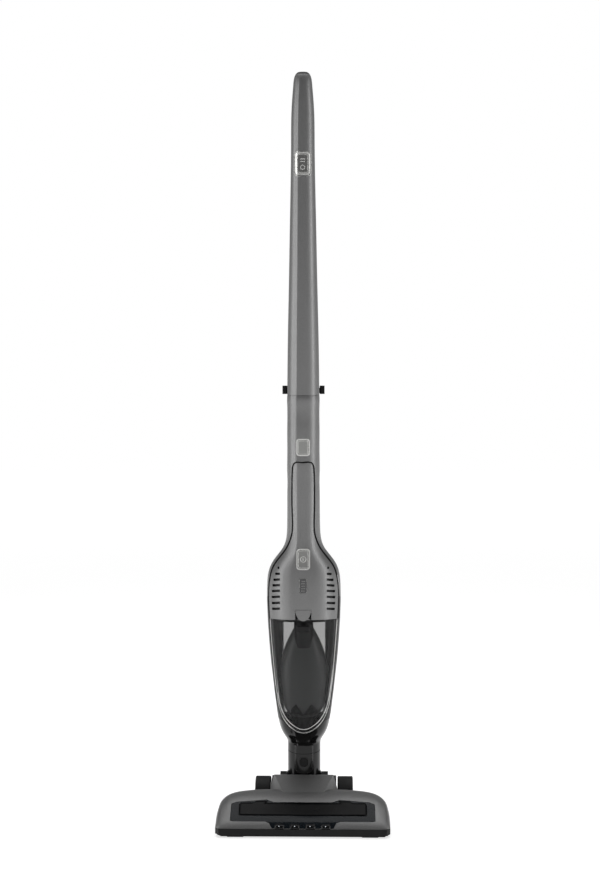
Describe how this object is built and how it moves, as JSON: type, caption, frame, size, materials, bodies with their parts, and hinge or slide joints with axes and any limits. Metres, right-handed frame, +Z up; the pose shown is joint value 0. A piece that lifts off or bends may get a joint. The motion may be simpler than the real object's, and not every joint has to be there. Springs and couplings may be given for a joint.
{
  "type": "cordless stick vacuum",
  "caption": "Upright cordless stick vacuum with a wide floor head, a removable handheld unit with a clear dust container, a spinning brush and a folding handle.",
  "frame": {"origin": "centre of the object's box on the floor plane: the floor head stands on Z=0 and X=0 is its middle", "axes": "+Z up, -Y towards the front of the floor head, X across the head; the stick leans 5 degrees forward in its parked position"},
  "size_m": [0.2604, 0.164, 1.1369],
  "materials": {
    "black_plastic": "fine satin",
    "grey_paint": "metallic satin paint",
    "smoke_window": "polished smoke tint",
    "black_rubber": "matte",
    "felt": "felt",
    "steel": "brushed",
    "brush_core": "satin",
    "bristle": "nylon tufts",
    "motor_metal": "satin",
    "belt": "matte",
    "circuit_board": "satin",
    "lamp_lens": "clear",
    "black_gloss": "gloss",
    "contact_metal": "polished",
    "bright_trim": "polished",
    "satin_trim": "satin silver",
    "fan_plastic": "satin",
    "cell_wrap": "film wrap",
    "gauge_lens": "smoked lens",
    "smoke_clear": "polished smoke tint",
    "rim_silver": "satin silver",
    "filter_grey": "satin",
    "filter_mesh": "fine mesh",
    "soft_grip": "soft touch"
  },
  "bodies": {
    "head": {"head_base": "black_plastic", "head_cover": "grey_paint", "head_window": "smoke_window", "front_bumper": "black_rubber", "floor_glides": "felt", "mouth_strip": "black_rubber", "chassis_screws": "steel", "brush_bearings": "steel", "brush_motor": "motor_metal", "drive_belt": "belt", "headlight_lenses": "lamp_lens", "headlight_board": "circuit_board", "wheel_axles": "steel"},
    "brush_roll": {"brush_core": "brush_core", "brush_bristles": "bristle"},
    "motor_pulley": {"motor_pulley": "steel"},
    "wheel_left": {"wheel_tyre_left": "black_rubber", "wheel_hub_left": "black_plastic"},
    "wheel_right": {"wheel_tyre_right": "black_rubber", "wheel_hub_right": "black_plastic"},
    "neck": {"neck_yoke": "black_gloss", "neck_collar": "black_gloss", "neck_spigot": "black_plastic"},
    "frame": {"lower_pipe": "black_gloss", "pipe_button": "black_plastic", "frame_cup": "black_gloss", "frame_rear": "black_plastic", "frame_back_cover": "black_plastic", "frame_front": "grey_paint", "charging_jack": "black_plastic", "contact_block": "black_plastic", "charging_contacts": "contact_metal", "release_ring": "bright_trim", "fold_pin": "steel"},
    "release_button": {"release_button": "satin_trim"},
    "handheld": {"motor_housing": "grey_paint", "rear_housing": "black_plastic", "motor_bulkhead": "black_plastic", "vent_liner": "black_plastic", "suction_motor": "motor_metal", "motor_seal": "black_rubber", "battery_cells": "cell_wrap", "control_board": "circuit_board", "power_ring": "bright_trim", "charge_gauge": "gauge_lens"},
    "fan": {"fan_wheel": "fan_plastic"},
    "power_button": {"power_button": "satin_trim"},
    "container_catch": {"container_catch": "grey_paint"},
    "dust_container": {"container_shell": "smoke_clear", "container_rim": "rim_silver", "container_seal": "black_rubber", "filter_cone": "filter_grey", "filter_core": "filter_mesh", "inlet_sleeve": "black_plastic"},
    "handle": {"handle_front": "grey_paint", "handle_rear": "soft_grip", "handle_tip": "soft_grip", "switch_ring": "bright_trim"},
    "fold_lock": {"fold_lock": "black_plastic"},
    "power_switch": {"power_switch": "satin_trim"}
  },
  "joints": [
    {"name": "brush_spin", "type": "hinge", "parent": "head", "child": "brush_roll", "pos_m": [0, -0.04, 0.0188], "axis": [1, 0, 0], "continuous": true},
    {"name": "pulley_spin", "type": "hinge", "parent": "head", "child": "motor_pulley", "pos_m": [-0.1, -0.0003, 0.022], "axis": [1, 0, 0], "continuous": true},
    {"name": "wheel_left_spin", "type": "hinge", "parent": "head", "child": "wheel_left", "pos_m": [-0.0648, 0.054, 0.028], "axis": [1, 0, 0], "continuous": true},
    {"name": "wheel_right_spin", "type": "hinge", "parent": "head", "child": "wheel_right", "pos_m": [0.0648, 0.054, 0.028], "axis": [1, 0, 0], "continuous": true},
    {"name": "neck_tilt", "type": "hinge", "parent": "head", "child": "neck", "pos_m": [0, 0.051, 0.045], "axis": [-1, 0, 0], "range_deg": [0, 78]},
    {"name": "stick_swivel", "type": "hinge", "parent": "neck", "child": "frame", "pos_m": [0, 0.04926, 0.06492], "axis": [0, -0.0872, 0.9962], "range_deg": [-90, 90]},
    {"name": "release_press", "type": "slide", "parent": "frame", "child": "release_button", "axis": [0, 0.9962, 0.0872], "range_m": [0, 0.0015], "stiffness_N_per_m": 1333.3, "springref_m": -0.0009},
    {"name": "handheld_out", "type": "slide", "parent": "frame", "child": "handheld", "axis": [0, -0.9986, 0.0523], "range_m": [0, 0.13]},
    {"name": "fan_spin", "type": "hinge", "parent": "handheld", "child": "fan", "pos_m": [0, 0.00923, 0.32743], "axis": [0, -0.0872, 0.9962], "continuous": true},
    {"name": "power_press", "type": "slide", "parent": "handheld", "child": "power_button", "axis": [0, 0.9962, 0.0872], "range_m": [0, 0.0015], "stiffness_N_per_m": 1333.3, "springref_m": -0.0009},
    {"name": "catch_press", "type": "slide", "parent": "handheld", "child": "container_catch", "axis": [0, 0.9962, 0.0872], "range_m": [0, 0.0015], "stiffness_N_per_m": 1333.3, "springref_m": -0.0009},
    {"name": "container_out", "type": "slide", "parent": "handheld", "child": "dust_container", "axis": [0, -0.9986, 0.0523], "range_m": [0, 0.12]},
    {"name": "handle_fold", "type": "hinge", "parent": "frame", "child": "handle", "pos_m": [0, 0.01418, 0.66094], "axis": [-1, 0, 0], "range_deg": [0, 165]},
    {"name": "fold_release", "type": "slide", "parent": "handle", "child": "fold_lock", "axis": [0, -0.0872, 0.9962], "range_m": [0, 0.006], "stiffness_N_per_m": 1000, "springref_m": -0.0036},
    {"name": "switch_press", "type": "slide", "parent": "handle", "child": "power_switch", "axis": [0, 0.9962, 0.0872], "range_m": [0, 0.0015], "stiffness_N_per_m": 1333.3, "springref_m": -0.0009}
  ],
  "couplings": [
    {"joint": "pulley_spin", "follows": "brush_spin", "ratio": 2.5}
  ]
}
